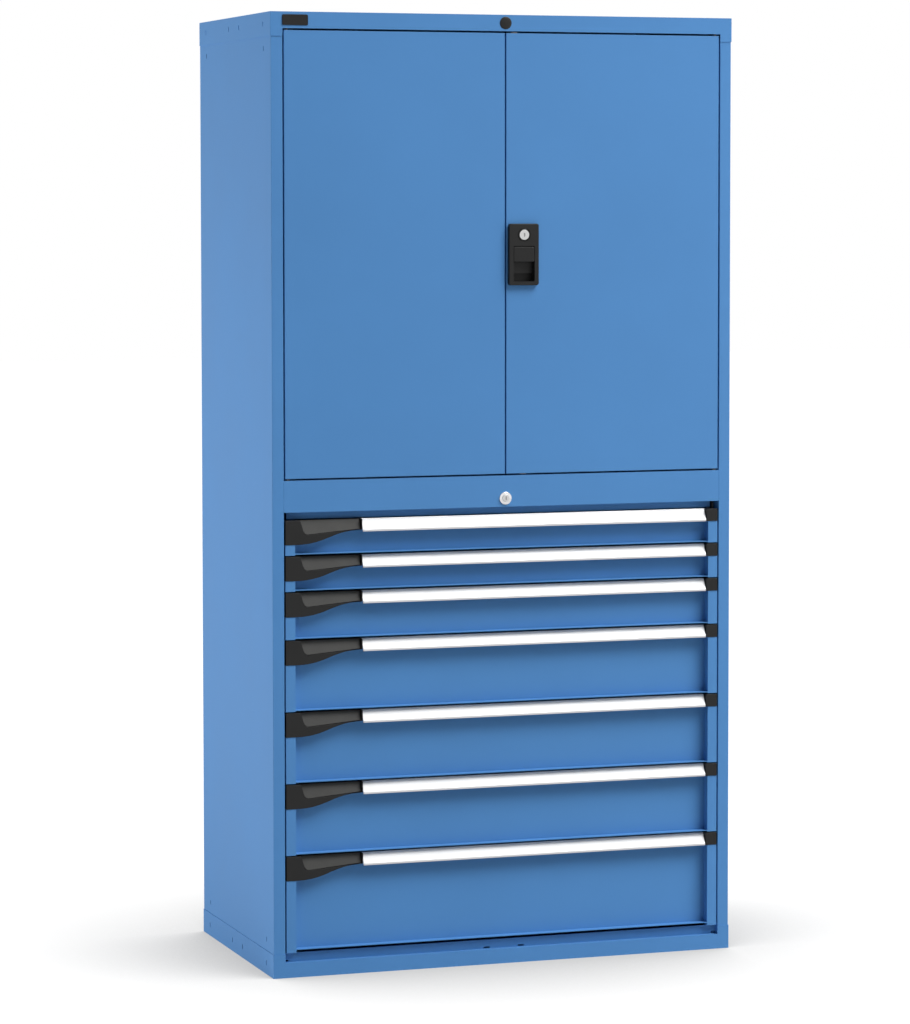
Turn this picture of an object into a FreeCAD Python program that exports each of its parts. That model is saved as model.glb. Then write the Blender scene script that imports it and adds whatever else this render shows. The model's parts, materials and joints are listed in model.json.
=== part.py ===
import FreeCAD, Part

import math
import os

# Tool cabinet with two doors above seven drawers.
# Millimetres, X to the right, Y to the back, Z up, origin under the middle of the base.

# Whole cabinet
cabinet_width = 1023.0
cabinet_depth = 555.0
cabinet_height = 2000.0

# Sheet thicknesses
cap_sheet = 1.2
panel_sheet = 1.2
floor_sheet = 1.2
door_sheet = 1.2
drawer_sheet = 1.2
slide_sheet = 1.5
shelf_sheet = 1.0

# Clearances
running_gap = 0.3
pin_clearance = 0.06
overrun = 4.0

# Cap and base tray
rim_height = 50.0
cap_front_height = 34.0
base_front_height = 31.6
return_depth = 32.0
return_lip = 9.0
foot_plate = 60.0
foot_sheet = 3.0
anchor_inset = 40.0
anchor_radius = 5.5
floor_channel_width = 80.0
sill_setback = 13.0
sill_height = 18.7
sill_slot_offset = 38.5
sill_slot_width = 14.0
sill_slot_height = 3.2
sill_slot_rise = 0.7
sill_end_slot_width = 10.0
corner_bend = 1.0

# Side panels and posts
post_width = 24.8
post_depth = 30.0
post_hem = 9.0
rear_flange = 25.0
slot_width = 3.0
slot_height = 10.0
slot_from_end = 74.0
slot_from_edge = 55.0
rim_slot_height = 24.0
rim_slot_offset = 40.0

# Back rivets
rivet_head_radius = 4.0
rivet_head_height = 1.0
rivet_shank_radius = 2.0
rivets_per_side = 7
rivet_end_distance = 90.0

# Middle rail and compartment floor
rail_rise = 15.9
rail_height = 65.9
rail_foot_depth = 21.0
recess_strip_gap = 1.0
recess_strip_end = 11.5

# Doors
door_gap = 3.0
door_top_gap = 4.0
door_bottom_gap = 3.5
door_thickness = 24.0
door_flange = 13.0
stiffener_width = 90.0
stiffener_foot = 14.0
stiffener_gap = 40.0
hinge_inset = 7.0
hinge_setback = 6.0
hinge_pin_radius = 3.0
hinge_pin_reach = 9.0
hinge_head_radius = 4.5
hinge_head_height = 2.5
hinge_collar_radius = 4.5

# Door handle, from the door's front face and its free edge
handle_edge = 3.8
handle_rise = 396.0
handle_crown = 9.7
handle_proud = 9.5
handle_corner = 4.5
handle_body_inset = 7.0
handle_body_depth = 18.5
cup_width = 47.0
cup_side = 9.5
cup_bottom = 8.0
cup_height = 74.4
cup_depth = 15.0
pocket_height = 17.0
pocket_depth = 24.0
cup_corner = 2.0
paddle_height = 33.0
paddle_thickness = 3.0
paddle_side_gap = 0.5
arm_window_height = 24.0
arm_window_side = 1.0
paddle_pivot_drop = 4.0
paddle_pivot_setback = 2.0
paddle_head = 2.2
paddle_pin_reach = 2.0
paddle_lip_depth = 5.0
paddle_lip_height = 2.5
paddle_pin_radius = 1.5
paddle_arm_width = 5.5
paddle_arm_thickness = 3.0
key_cup_gap = 10.0
key_bezel_radius = 13.5
key_bezel_proud = 1.0
key_face_radius = 10.7
key_face_proud = 2.0
key_tail_width = 6.0
key_tail_thickness = 2.0
keyway_width = 1.6
keyway_height = 8.0
keyway_depth = 4.0

# Locking rods and their rocker
rocker_drop = 17.0
rocker_radius = 15.0
rocker_sheet = 3.0
rocker_pin_offset = 10.0
rocker_pin_radius = 2.5
rocker_axle_radius = 3.0
rocker_lever_side = 1.5
rocker_lever_height = 6.0
rocker_axle_setback = 0.8
rod_width = 13.0
rod_thickness = 5.0
rod_tip_gap = 0.5
rod_end_wall = 5.0
rod_slot_clearance = 0.6
rod_guide_wall = 1.5

# Shelves
shelf_height_shares = (0.333, 0.667)
shelf_setback = 44.0
shelf_edge_height = 25.0
shelf_side_gap = 3.0
bracket_width = 24.0
bracket_depth = 12.0
bracket_height = 16.0
bracket_sheet = 2.0
bracket_from_edge = 60.0

# Runner uprights and the lock bar's studs
upright_width = 30.0
upright_sheet = 1.5
upright_offset = 0.5
upright_front_setback = 38.6
upright_rear_setback = 42.0
stud_radius = 1.5
stud_length = 7.0

# Drawer stack, from the top drawer down
drawer_stack_bottom = 54.0
drawer_pitches = (75.0, 75.0, 100.0, 150.0, 150.0, 150.0, 200.0)
drawer_bottom_gap = 3.6
drawer_top_gap = 0.9
drawer_side_gap = 3.0
end_post_width = 21.0
end_post_gap = 1.6
lowest_post_drop = 3.7
front_recess = 20.0
drawer_rear_room = 68.8
drawer_floor_rise = 6.0
drawer_wall_drop = 13.0
drawer_rim = 6.0

# Drawer slides
slide_rise = 28.0
cabinet_rail_height = 36.0
cabinet_rail_width = 13.0
cabinet_rail_rear_inset = 2.0
middle_rail_width = 16.5
middle_rail_rear_room = 20.0
drawer_rail_width = 20.3
drawer_rail_rear_room = 19.0
slide_room = 25.8
slide_web_gap = 0.8

# Lock lugs on the drawers and the lock bar
lug_gap = 4.0
lug_height = 8.0
lug_thickness = 6.0
lug_width = 22.8
bar_thickness = 5.0
bar_width = 14.0
bar_inset = 1.2
bar_setback = 33.3
bar_travel = 6.0
hook_length = 9.5
bar_link_height = 28.0
bar_link_overhang = 14.0
bar_tail = 14.0

# Drawer lock in the middle rail
lock_rise = 18.1
lock_ring_radius = 13.5
lock_ring_proud = 3.0
lock_barrel_radius = 9.5
lock_barrel_depth = 22.0
lock_plug_radius = 7.5
lock_plug_proud = 3.5
lock_pin_radius = 2.0
lock_cam_sheet = 2.5
lock_slot_slack = 1.6
lock_nut_radius = 13.0
lock_nut_height = 3.0

# Cap plug and badge plate
plug_radius = 13.0
plug_drop = 17.1
plug_head = 2.0
plug_stem_radius = 10.0
plug_stem_length = 8.0
badge_width = 55.0
badge_height = 21.9
badge_thickness = 1.5
badge_inset = 25.5
badge_drop = 5.9
badge_corner = 2.5

# Handle strip across each drawer, as a section below the drawer's nominal top
strip_setback = 12.0
strip_slope_height = 22.3
strip_lip_height = 4.5
strip_wall = 2.0
strip_lip_thickness = 3.0

# Grip at the left end of each strip, and the cap at the right end
grip_width = 166.5
grip_gap = 1.5
grip_height = 50.5
grip_inner_height = 22.6
grip_curve_start_share = 0.135
grip_curve_pull_share = 0.41
scoop_left = 30.8
scoop_foot = 41.3
scoop_height = 31.0
scoop_right_height = 21.5
scoop_end_gap = 2.4
catch_thickness = 2.2
catch_pocket = 5.5
catch_side_gap = 1.0
catch_pin_radius = 0.9
catch_pin_reach = 2.4
end_cap_width = 25.1
end_cap_height = 26.6

# Places worked out from the sizes above
half_width = cabinet_width / 2
front_y = -cabinet_depth / 2
back_y = cabinet_depth / 2
face_y = front_y + cap_sheet
rear_y = back_y - cap_sheet
panel_out = half_width - cap_sheet
panel_in = panel_out - panel_sheet
post_in = panel_out - post_width
deck_top = base_front_height
sill_y = front_y + sill_setback
roof_under = cabinet_height - cap_sheet
cap_front_bottom = cabinet_height - cap_front_height
drawer_stack_top = drawer_stack_bottom + sum(drawer_pitches)
rail_bottom = drawer_stack_top + rail_rise
rail_top = rail_bottom + rail_height
lock_height = rail_bottom + lock_rise
back_panel_y = rear_y - panel_sheet - panel_sheet

door_out = post_in - door_gap
door_in = door_gap / 2
door_bottom = rail_top + door_bottom_gap
door_top = cap_front_bottom - door_top_gap
door_back = face_y + door_thickness
hinge_x = door_out - hinge_inset
hinge_y = face_y + hinge_setback

handle_width = cup_width + cup_side + cup_side
handle_left = door_in + handle_edge
handle_middle = handle_left + handle_width / 2
handle_front = face_y - handle_proud
handle_back = face_y + handle_body_depth
handle_bottom = door_bottom + handle_rise
cup_top = cup_bottom + cup_height
key_rise = cup_top + key_cup_gap + key_bezel_radius
handle_height = key_rise + key_bezel_radius + handle_crown
paddle_top = handle_bottom + cup_top
rocker_height = paddle_top - rocker_drop
rocker_lever_reach = cup_width / 2 - rocker_lever_side
paddle_pivot_z = paddle_top - paddle_pivot_drop
paddle_pivot_y = handle_front + paddle_pivot_setback

rod_front = door_back + running_gap
rod_back = rod_front + rod_thickness
rocker_disc_front = rod_back + running_gap
upper_rod_x = handle_middle - rocker_pin_offset
lower_rod_x = handle_middle + rocker_pin_offset
lever_front = door_back - rocker_sheet - door_sheet
paddle_arm_x = handle_middle - rocker_lever_reach

upright_front_y = face_y + upright_front_setback
upright_rear_y = rear_y - upright_rear_setback - upright_width
upright_in = post_in + upright_offset

front_half = post_in - drawer_side_gap
drawer_out = upright_in - slide_room
drawer_in = drawer_out - drawer_sheet
end_post_in = front_half - end_post_width
recess_y = face_y + front_recess
box_front_y = recess_y + drawer_sheet
box_back_y = back_panel_y - drawer_rear_room - drawer_sheet

slide_y0 = upright_front_y + running_gap
cabinet_rail_end = upright_rear_y + upright_width - cabinet_rail_rear_inset
middle_rail_end = box_back_y + drawer_sheet - middle_rail_rear_room
drawer_rail_end = box_back_y - drawer_rail_rear_room
grip_left = -front_half
grip_right = grip_left + grip_width
strip_left = grip_right + grip_gap
strip_right = front_half - end_cap_width - grip_gap
bar_y0 = face_y + bar_setback
bar_y1 = bar_y0 + bar_thickness
bar_out = panel_in - bar_inset
bar_in = bar_out - bar_width


# Basic shapes

def block(x0, x1, y0, y1, z0, z1):
    corner = FreeCAD.Vector(min(x0, x1), min(y0, y1), min(z0, z1))
    return Part.makeBox(abs(x1 - x0), abs(y1 - y0), abs(z1 - z0), corner)


def rod_along(axis, x, y, z, radius, length):
    return Part.makeCylinder(radius, length, FreeCAD.Vector(x, y, z), FreeCAD.Vector(*axis))


def along_y(x, z, radius, y0, y1):
    return rod_along((0, 1, 0), x, y0, z, radius, y1 - y0)


def along_z(x, y, radius, z0, z1):
    return rod_along((0, 0, 1), x, y, z0, radius, z1 - z0)


def joined(shapes):
    whole = shapes[0].multiFuse(shapes[1:])
    return whole.removeSplitter()


def mirrored(shape):
    return shape.mirror(FreeCAD.Vector(0, 0, 0), FreeCAD.Vector(1, 0, 0))


def on_side(shape, side):
    # A shape drawn on the right, or its mirror image on the left
    return shape if side > 0 else mirrored(shape)


def prism(points, direction):
    wire = Part.makePolygon([FreeCAD.Vector(*point) for point in points + points[:1]])
    return Part.Face(wire).extrude(FreeCAD.Vector(*direction))


def rounded_plate(x0, x1, y0, y1, z0, z1, radius):
    plate = block(x0, x1, y0, y1, z0, z1)
    corners = [edge for edge in plate.Edges if is_along(edge, (0, 1, 0))]
    return plate.makeFillet(radius, corners)


def is_along(edge, direction):
    way = edge.Vertexes[-1].Point - edge.Vertexes[0].Point
    return way.Length > 0 and abs(way.normalize().dot(FreeCAD.Vector(*direction))) > 0.999


def round_edges(shape, radius, chosen):
    edges = [edge for edge in shape.Edges if chosen(edge)]
    return shape.makeFillet(radius, edges)


def save(name, shape):
    shape.exportStep("parts/" + name + ".step")


# Housing

def rim(z_low, z_high, front_low, front_high):
    pieces = [block(-half_width, half_width, rear_y, back_y, z_low, z_high)]
    pieces.append(block(-half_width, half_width, front_y, face_y, front_low, front_high))
    for side in (-1, 1):
        pieces.append(block(side * panel_out, side * half_width, front_y, back_y, z_low, z_high))
        pieces.append(block(side * post_in, side * half_width, front_y, face_y, z_low, z_high))
    return pieces


def rim_slots(height):
    cutters = []
    places = (front_y + slot_from_edge, -rim_slot_offset, rim_slot_offset, back_y - slot_from_edge)
    for y in places:
        for side in (-1, 1):
            cutters.append(block(side * (panel_out - overrun), side * (half_width + overrun),
                                 y - slot_width / 2, y + slot_width / 2,
                                 height - slot_height / 2, height + slot_height / 2))
    return cutters


def soften_corners(shape):
    def outer_corner(edge):
        centre = edge.CenterOfMass
        at_side = abs(abs(centre.x) - half_width) < running_gap
        at_end = abs(abs(centre.y) - back_y) < running_gap
        return is_along(edge, (0, 0, 1)) and at_side and at_end
    return round_edges(shape, corner_bend, outer_corner)


def make_top_cap():
    low = cabinet_height - rim_height
    pieces = rim(low, cabinet_height, cap_front_bottom, cabinet_height)
    pieces.append(block(-half_width, half_width, front_y, back_y, roof_under, cabinet_height))
    return_back = front_y + return_depth
    pieces.append(block(-post_in, post_in, front_y, return_back,
                        cap_front_bottom, cap_front_bottom + cap_sheet))
    pieces.append(block(-post_in, post_in, return_back - cap_sheet, return_back,
                        cap_front_bottom, cap_front_bottom + return_lip))
    cap = joined(pieces)
    cutters = rim_slots(cabinet_height - rim_slot_height)
    cutters.append(along_y(0, cabinet_height - plug_drop, plug_stem_radius,
                           front_y - overrun, face_y + overrun))
    for side in (-1, 1):
        cutters.append(along_z(side * hinge_x, hinge_y, hinge_pin_radius,
                               cap_front_bottom - overrun, cap_front_bottom + overrun))
    return soften_corners(cap.cut(cutters))


def make_base_tray():
    pieces = rim(0, rim_height, 0, base_front_height)
    pieces.append(block(-half_width, half_width, front_y, back_y, deck_top - cap_sheet, deck_top))
    pieces.append(block(-post_in, post_in, sill_y, sill_y + cap_sheet,
                        deck_top - cap_sheet, deck_top + sill_height))
    pieces.append(block(-panel_out, panel_out, -floor_channel_width / 2, floor_channel_width / 2,
                        0, cap_sheet))
    for y in (-floor_channel_width / 2, floor_channel_width / 2 - cap_sheet):
        pieces.append(block(-panel_out, panel_out, y, y + cap_sheet, 0, deck_top))
    for side in (-1, 1):
        for end in (-1, 1):
            pieces.append(block(side * (half_width - foot_plate), side * half_width,
                                end * (back_y - foot_plate), end * back_y, 0, foot_sheet))
    tray = joined(pieces)
    cutters = rim_slots(rim_slot_height)
    slot_low = deck_top + sill_slot_rise
    slot_high = slot_low + sill_slot_height
    slot_ends = [(sill_slot_offset - sill_slot_width / 2, sill_slot_offset + sill_slot_width / 2)]
    slot_ends.append((post_in - sill_end_slot_width, post_in + overrun))
    for side in (-1, 1):
        for inner, outer in slot_ends:
            cutters.append(block(side * inner, side * outer, sill_y - overrun, sill_y + overrun,
                                 slot_low, slot_high))
        for end in (-1, 1):
            cutters.append(along_z(side * (half_width - anchor_inset), end * (back_y - anchor_inset),
                                   anchor_radius, -overrun, foot_sheet + overrun))
    return soften_corners(tray.cut(cutters))


def make_side_panel(side):
    low = deck_top
    high = roof_under
    pieces = [block(panel_in, panel_out, face_y, rear_y, low, high)]
    pieces.append(block(post_in, panel_out, face_y, face_y + panel_sheet, low, high))
    pieces.append(block(post_in, post_in + panel_sheet, face_y, face_y + post_depth, low, high))
    pieces.append(block(post_in, post_in + post_hem, face_y + post_depth - panel_sheet,
                        face_y + post_depth, low, high))
    pieces.append(block(panel_out - rear_flange, panel_out, rear_y - panel_sheet, rear_y, low, high))
    panel = joined(pieces)
    cutters = []
    for z in (slot_from_end, cabinet_height - slot_from_end):
        for y in (front_y + slot_from_edge, back_y - slot_from_edge):
            cutters.append(block(panel_in - overrun, panel_out + overrun,
                                 y - slot_width / 2, y + slot_width / 2,
                                 z - slot_height / 2, z + slot_height / 2))
    panel = panel.cut(cutters + rivet_shanks(1))

    def front_bend(edge):
        centre = edge.CenterOfMass
        at_face = abs(centre.y - face_y) < running_gap
        at_corner = abs(centre.x - panel_out) < running_gap or abs(centre.x - post_in) < running_gap
        return is_along(edge, (0, 0, 1)) and at_face and at_corner
    return on_side(round_edges(panel, corner_bend, front_bend), side)


def rivet_heights():
    span = roof_under - deck_top - rivet_end_distance - rivet_end_distance
    step = span / (rivets_per_side - 1)
    return [deck_top + rivet_end_distance + step * number for number in range(rivets_per_side)]


def rivet_shanks(side):
    x = side * (panel_out - rear_flange / 2)
    return [along_y(x, z, rivet_shank_radius, back_panel_y, rear_y) for z in rivet_heights()]


def make_back_panel():
    edge = panel_in
    panel = block(-edge, edge, back_panel_y, rear_y - panel_sheet, deck_top, roof_under)
    return panel.cut(rivet_shanks(-1) + rivet_shanks(1))


def make_back_rivets():
    rivets = []
    for side in (-1, 1):
        for z, shank in zip(rivet_heights(), rivet_shanks(side)):
            head = along_y(side * (panel_out - rear_flange / 2), z, rivet_head_radius,
                           rear_y, rear_y + rivet_head_height)
            rivets.append(joined([shank, head]))
    return Part.makeCompound(rivets)


def make_middle_floor():
    top_under = rail_top - floor_sheet
    foot_back = face_y + rail_foot_depth
    pieces = [block(-post_in, post_in, face_y, face_y + post_depth, top_under, rail_top)]
    pieces.append(block(-panel_in, panel_in, face_y + post_depth, back_panel_y, top_under, rail_top))
    pieces.append(block(-post_in, post_in, face_y, face_y + floor_sheet, rail_bottom, rail_top))
    pieces.append(block(-post_in, post_in, face_y, foot_back, rail_bottom, rail_bottom + floor_sheet))
    strip_end = post_in - recess_strip_end
    pieces.append(block(-strip_end, strip_end, foot_back, foot_back + floor_sheet,
                        drawer_stack_top + recess_strip_gap, rail_bottom + floor_sheet))
    floor = joined(pieces)
    cutters = [along_y(0, lock_height, lock_barrel_radius, face_y - overrun, face_y + overrun)]
    for side in (-1, 1):
        cutters.append(along_z(side * hinge_x, hinge_y, hinge_pin_radius,
                               rail_top - overrun, rail_top + overrun))
    return floor.cut(cutters)


def make_hinge_pins():
    pins = []
    for side in (-1, 1):
        x = side * hinge_x
        seat = cap_front_bottom + cap_sheet
        pins.append(joined([along_z(x, hinge_y, hinge_pin_radius, door_top - hinge_pin_reach, seat),
                            along_z(x, hinge_y, hinge_head_radius, seat, seat + hinge_head_height)]))
        under = rail_top - floor_sheet
        pins.append(joined([along_z(x, hinge_y, hinge_pin_radius, under, door_bottom + hinge_pin_reach),
                            along_z(x, hinge_y, hinge_head_radius, under - hinge_head_height, under),
                            along_z(x, hinge_y, hinge_collar_radius, rail_top, door_bottom)]))
    return Part.makeCompound(pins)


def shelf_heights():
    clear = cap_front_bottom - rail_top
    return [rail_top + clear * share for share in shelf_height_shares]


def make_shelves():
    half = panel_in - shelf_side_gap
    y0 = face_y + shelf_setback
    y1 = back_panel_y - shelf_side_gap
    shelves = []
    for top in shelf_heights():
        low = top - shelf_edge_height
        pieces = [block(-half, half, y0, y1, top - shelf_sheet, top)]
        pieces.append(block(-half, half, y0, y0 + shelf_sheet, low, top))
        pieces.append(block(-half, half, y1 - shelf_sheet, y1, low, top))
        for side in (-1, 1):
            pieces.append(block(side * half, side * (half - shelf_sheet), y0, y1, low, top))
        shelves.append(joined(pieces))
    return Part.makeCompound(shelves)


def make_shelf_brackets():
    brackets = []
    for top in shelf_heights():
        seat = top - shelf_edge_height
        for y in (face_y + shelf_setback + bracket_from_edge, back_panel_y - bracket_from_edge):
            for side in (-1, 1):
                inner = side * (panel_in - bracket_depth)
                plate = block(side * panel_in, side * (panel_in - bracket_sheet),
                              y - bracket_width / 2, y + bracket_width / 2,
                              seat - bracket_height, seat)
                ledge = block(side * panel_in, inner, y - bracket_width / 2, y + bracket_width / 2,
                              seat - bracket_sheet, seat)
                brackets.append(joined([plate, ledge]))
    return Part.makeCompound(brackets)


def stud_heights():
    low = deck_top + slot_from_end
    high = drawer_stack_top
    return (low, (low + high) / 2, high)


def stud_x():
    return bar_in + (bar_width - bar_travel) / 2


def make_runner_uprights():
    uprights = []
    top = rail_top - floor_sheet
    for side in (-1, 1):
        for y0 in (upright_front_y, upright_rear_y):
            y1 = y0 + upright_width
            pieces = [block(side * upright_in, side * (upright_in + upright_sheet), y0, y1, deck_top, top)]
            for y in (y0, y1 - upright_sheet):
                pieces.append(block(side * upright_in, side * panel_in, y, y + upright_sheet,
                                    deck_top, top))
            if side > 0 and y0 == upright_front_y:
                for z in stud_heights():
                    pieces.append(along_y(stud_x(), z, stud_radius, y0 - stud_length, y0))
            uprights.append(joined(pieces))
    return Part.makeCompound(uprights)


# Slides: nested channels, open towards each other

def channel(web_x, tip_x, sheet, half_height, y0, y1, z):
    toward = 1 if tip_x > web_x else -1
    pieces = [block(web_x, web_x + toward * sheet, y0, y1, z - half_height, z + half_height)]
    for edge in (-1, 1):
        pieces.append(block(web_x, tip_x, y0, y1, z + edge * half_height,
                            z + edge * (half_height - sheet)))
    return joined(pieces)


cabinet_rail_half = cabinet_rail_height / 2
middle_rail_half = cabinet_rail_half - slide_sheet - running_gap
drawer_rail_half = middle_rail_half - slide_sheet - running_gap
lug_rise = slide_rise + cabinet_rail_half + lug_gap
middle_web_x = upright_in - slide_sheet - slide_web_gap
drawer_rail_tip = drawer_out + drawer_rail_width


def drawer_tops():
    tops = []
    top = drawer_stack_top
    for pitch in drawer_pitches:
        tops.append(top)
        top = top - pitch
    return tops


def drawer_bottoms():
    return [top - pitch for top, pitch in zip(drawer_tops(), drawer_pitches)]


def make_cabinet_rails():
    rails = []
    for bottom in drawer_bottoms():
        for side in (-1, 1):
            rail = channel(upright_in, upright_in - cabinet_rail_width, slide_sheet,
                           cabinet_rail_half, slide_y0, cabinet_rail_end, bottom + slide_rise)
            rails.append(on_side(rail, side))
    return Part.makeCompound(rails)


def make_slide_members(bottom):
    members = []
    for side in (-1, 1):
        member = channel(middle_web_x, middle_web_x - middle_rail_width, slide_sheet,
                         middle_rail_half, slide_y0, middle_rail_end, bottom + slide_rise)
        members.append(on_side(member, side))
    return Part.makeCompound(members)


# Drawers

def end_post_lows():
    # The lowest drawer's posts reach further down than the others
    lows = [bottom + end_post_gap for bottom in drawer_bottoms()]
    lows[-1] = lows[-1] - lowest_post_drop
    return lows


def make_drawer_box(bottom, top, post_low):
    front_low = bottom + drawer_bottom_gap
    strip_top = top - drawer_top_gap
    front_high = strip_top - strip_wall
    floor_low = bottom + drawer_floor_rise
    wall_high = top - drawer_wall_drop
    pieces = [block(-end_post_in, end_post_in, recess_y, box_front_y, front_low, front_high)]
    pieces.append(block(-end_post_in, end_post_in, face_y, recess_y, front_low, front_low + drawer_sheet))
    pieces.append(block(-drawer_out, drawer_out, box_front_y, box_back_y + drawer_sheet,
                        floor_low, floor_low + drawer_sheet))
    pieces.append(block(-drawer_out, drawer_out, box_back_y, box_back_y + drawer_sheet,
                        floor_low, wall_high))
    for side in (-1, 1):
        pieces.append(block(side * drawer_in, side * drawer_out, box_front_y,
                            box_back_y + drawer_sheet, floor_low, wall_high))
        pieces.append(block(side * (drawer_in - drawer_rim), side * drawer_out, box_front_y,
                            box_back_y + drawer_sheet, wall_high - drawer_sheet, wall_high))
        rail = channel(side * drawer_out, side * drawer_rail_tip, slide_sheet, drawer_rail_half,
                       box_front_y, drawer_rail_end, bottom + slide_rise)
        pieces.append(rail)
        post_high = strip_top - (end_cap_height if side > 0 else grip_height)
        for x in (end_post_in, front_half - drawer_sheet):
            pieces.append(block(side * x, side * (x + drawer_sheet), face_y, box_front_y,
                                post_low, post_high))
        pieces.append(block(side * end_post_in, side * front_half, face_y, face_y + drawer_sheet,
                            post_low, post_high))
        for z in (post_low, post_high - drawer_sheet):
            pieces.append(block(side * end_post_in, side * front_half, face_y, box_front_y,
                                z, z + drawer_sheet))
        pieces.append(block(side * end_post_in, side * front_half, recess_y, box_front_y,
                            post_high - drawer_sheet, front_high))
    lug_low = bottom + lug_rise
    lug_y0 = bar_y1 + running_gap + running_gap
    pieces.append(block(drawer_out, drawer_out + lug_width, lug_y0, lug_y0 + lug_thickness,
                        lug_low, lug_low + lug_height))
    return joined(pieces)


def make_handle_strip(top):
    high = top - drawer_top_gap
    crest_y = front_y + strip_setback
    slope_low = high - strip_slope_height
    lip_low = slope_low - strip_lip_height
    lean = strip_setback / strip_slope_height
    inner_high = high - strip_wall
    inner_crest_y = crest_y + strip_wall - strip_wall * lean
    lip_back = front_y + strip_lip_thickness
    inner_slope_low = inner_high - (inner_crest_y - lip_back) / lean
    points = [(strip_left, recess_y, high), (strip_left, crest_y, high),
              (strip_left, front_y, slope_low), (strip_left, front_y, lip_low),
              (strip_left, lip_back, lip_low), (strip_left, lip_back, inner_slope_low),
              (strip_left, inner_crest_y, inner_high), (strip_left, recess_y, inner_high)]
    plate = prism(points, (strip_right - strip_left, 0, 0))
    tab = block(strip_left, strip_right, recess_y - strip_wall, box_front_y, inner_high, high)
    web = block(strip_left, strip_right, recess_y - strip_wall, recess_y,
                inner_high - strip_lip_height, high)
    return joined([plate, tab, web])


def thumb_outline(high, inset):
    # Front view of the thumb face, drawn in from all sides by the inset
    left_top = (grip_left + scoop_left + inset, high + overrun)
    left_foot = (grip_left + scoop_foot + inset, high - scoop_height + inset)
    right_foot = (grip_right - scoop_end_gap - inset, high - scoop_right_height + inset)
    right_top = (grip_right - scoop_end_gap - inset, high + overrun)
    return [left_top, left_foot, right_foot, right_top]


def thumb_column(high, inset):
    y0 = front_y - overrun
    outline = [(x, y0, z) for x, z in thumb_outline(high, inset)]
    return prism(outline, (0, recess_y - y0, 0))


def lean_y(high, z, behind):
    # The thumb face leans like the strip: set back at its top, flush at its foot
    foot = high - scoop_height
    return front_y + strip_setback * (z - foot) / scoop_height + behind


def ahead_of_lean(high, behind):
    low_z = high - scoop_height - overrun
    high_z = high + overrun
    y0 = front_y - overrun
    section = [(grip_left, y0 - overrun, low_z), (grip_left, y0 - overrun, high_z),
               (grip_left, lean_y(high, high_z, behind), high_z),
               (grip_left, lean_y(high, low_z, behind), low_z)]
    return prism(section, (grip_width, 0, 0))


def catch_axis(high):
    # The catch turns on its lower edge, which rises towards the strip
    outline = thumb_outline(high, catch_side_gap)
    ends = []
    for x, z in outline[1:3]:
        z = z + catch_pin_radius
        ends.append(FreeCAD.Vector(x, lean_y(high, z, catch_thickness / 2), z))
    return ends


def catch_pins(high, radius, reach):
    left, right = catch_axis(high)
    way = (right - left).normalize()
    start = left - way * reach
    length = (right - left).Length + reach + reach
    return Part.makeCylinder(radius, length, start, way)


def bezier(points):
    curve = Part.BezierCurve()
    curve.setPoles([FreeCAD.Vector(x, front_y, z) for x, z in points])
    return curve.toShape()


def make_grip(top):
    high = top - drawer_top_gap
    curve_start = grip_left + grip_width * grip_curve_start_share
    pull = grip_width * grip_curve_pull_share
    low = high - grip_height
    inner_low = high - grip_inner_height
    foot = bezier([(curve_start, low), (curve_start + pull, low),
                   (grip_right - pull, inner_low), (grip_right, inner_low)])
    corners = [(grip_right, inner_low), (grip_right, high), (grip_left, high), (grip_left, low),
               (curve_start, low)]
    rest = Part.makePolygon([FreeCAD.Vector(x, front_y, z) for x, z in corners])
    face = Part.Face(Part.Wire([foot] + rest.Edges))
    body = face.extrude(FreeCAD.Vector(0, recess_y - front_y, 0))
    pocket = thumb_column(high, 0).common(ahead_of_lean(high, catch_thickness + catch_pocket))
    bores = catch_pins(high, catch_pin_radius + pin_clearance, catch_pin_reach + running_gap)
    return body.cut([pocket, bores])


def make_catch(top):
    high = top - drawer_top_gap
    slab = ahead_of_lean(high, catch_thickness).cut(ahead_of_lean(high, 0))
    plate = thumb_column(high, catch_side_gap).common(slab)
    above = block(grip_left, grip_right, front_y - overrun, recess_y, high, high + overrun + overrun)
    plate = plate.cut(above)
    return joined([plate, catch_pins(high, catch_pin_radius, catch_pin_reach)])


def make_end_cap(top):
    high = top - drawer_top_gap
    cap = block(strip_right + grip_gap, front_half, front_y, recess_y, high - end_cap_height, high)
    return cap


def save_drawers():
    for number, (top, bottom) in enumerate(zip(drawer_tops(), drawer_bottoms()), 1):
        prefix = "drawer_" + str(number)
        post_low = end_post_lows()[number - 1]
        save(prefix + "_box", make_drawer_box(bottom, top, post_low))
        save(prefix + "_handle_strip", make_handle_strip(top))
        save(prefix + "_end_mouldings", Part.makeCompound([make_grip(top), make_end_cap(top)]))
        save(prefix + "_catch", make_catch(top))
        save(prefix + "_slide_members", make_slide_members(bottom))


# Doors

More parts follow.
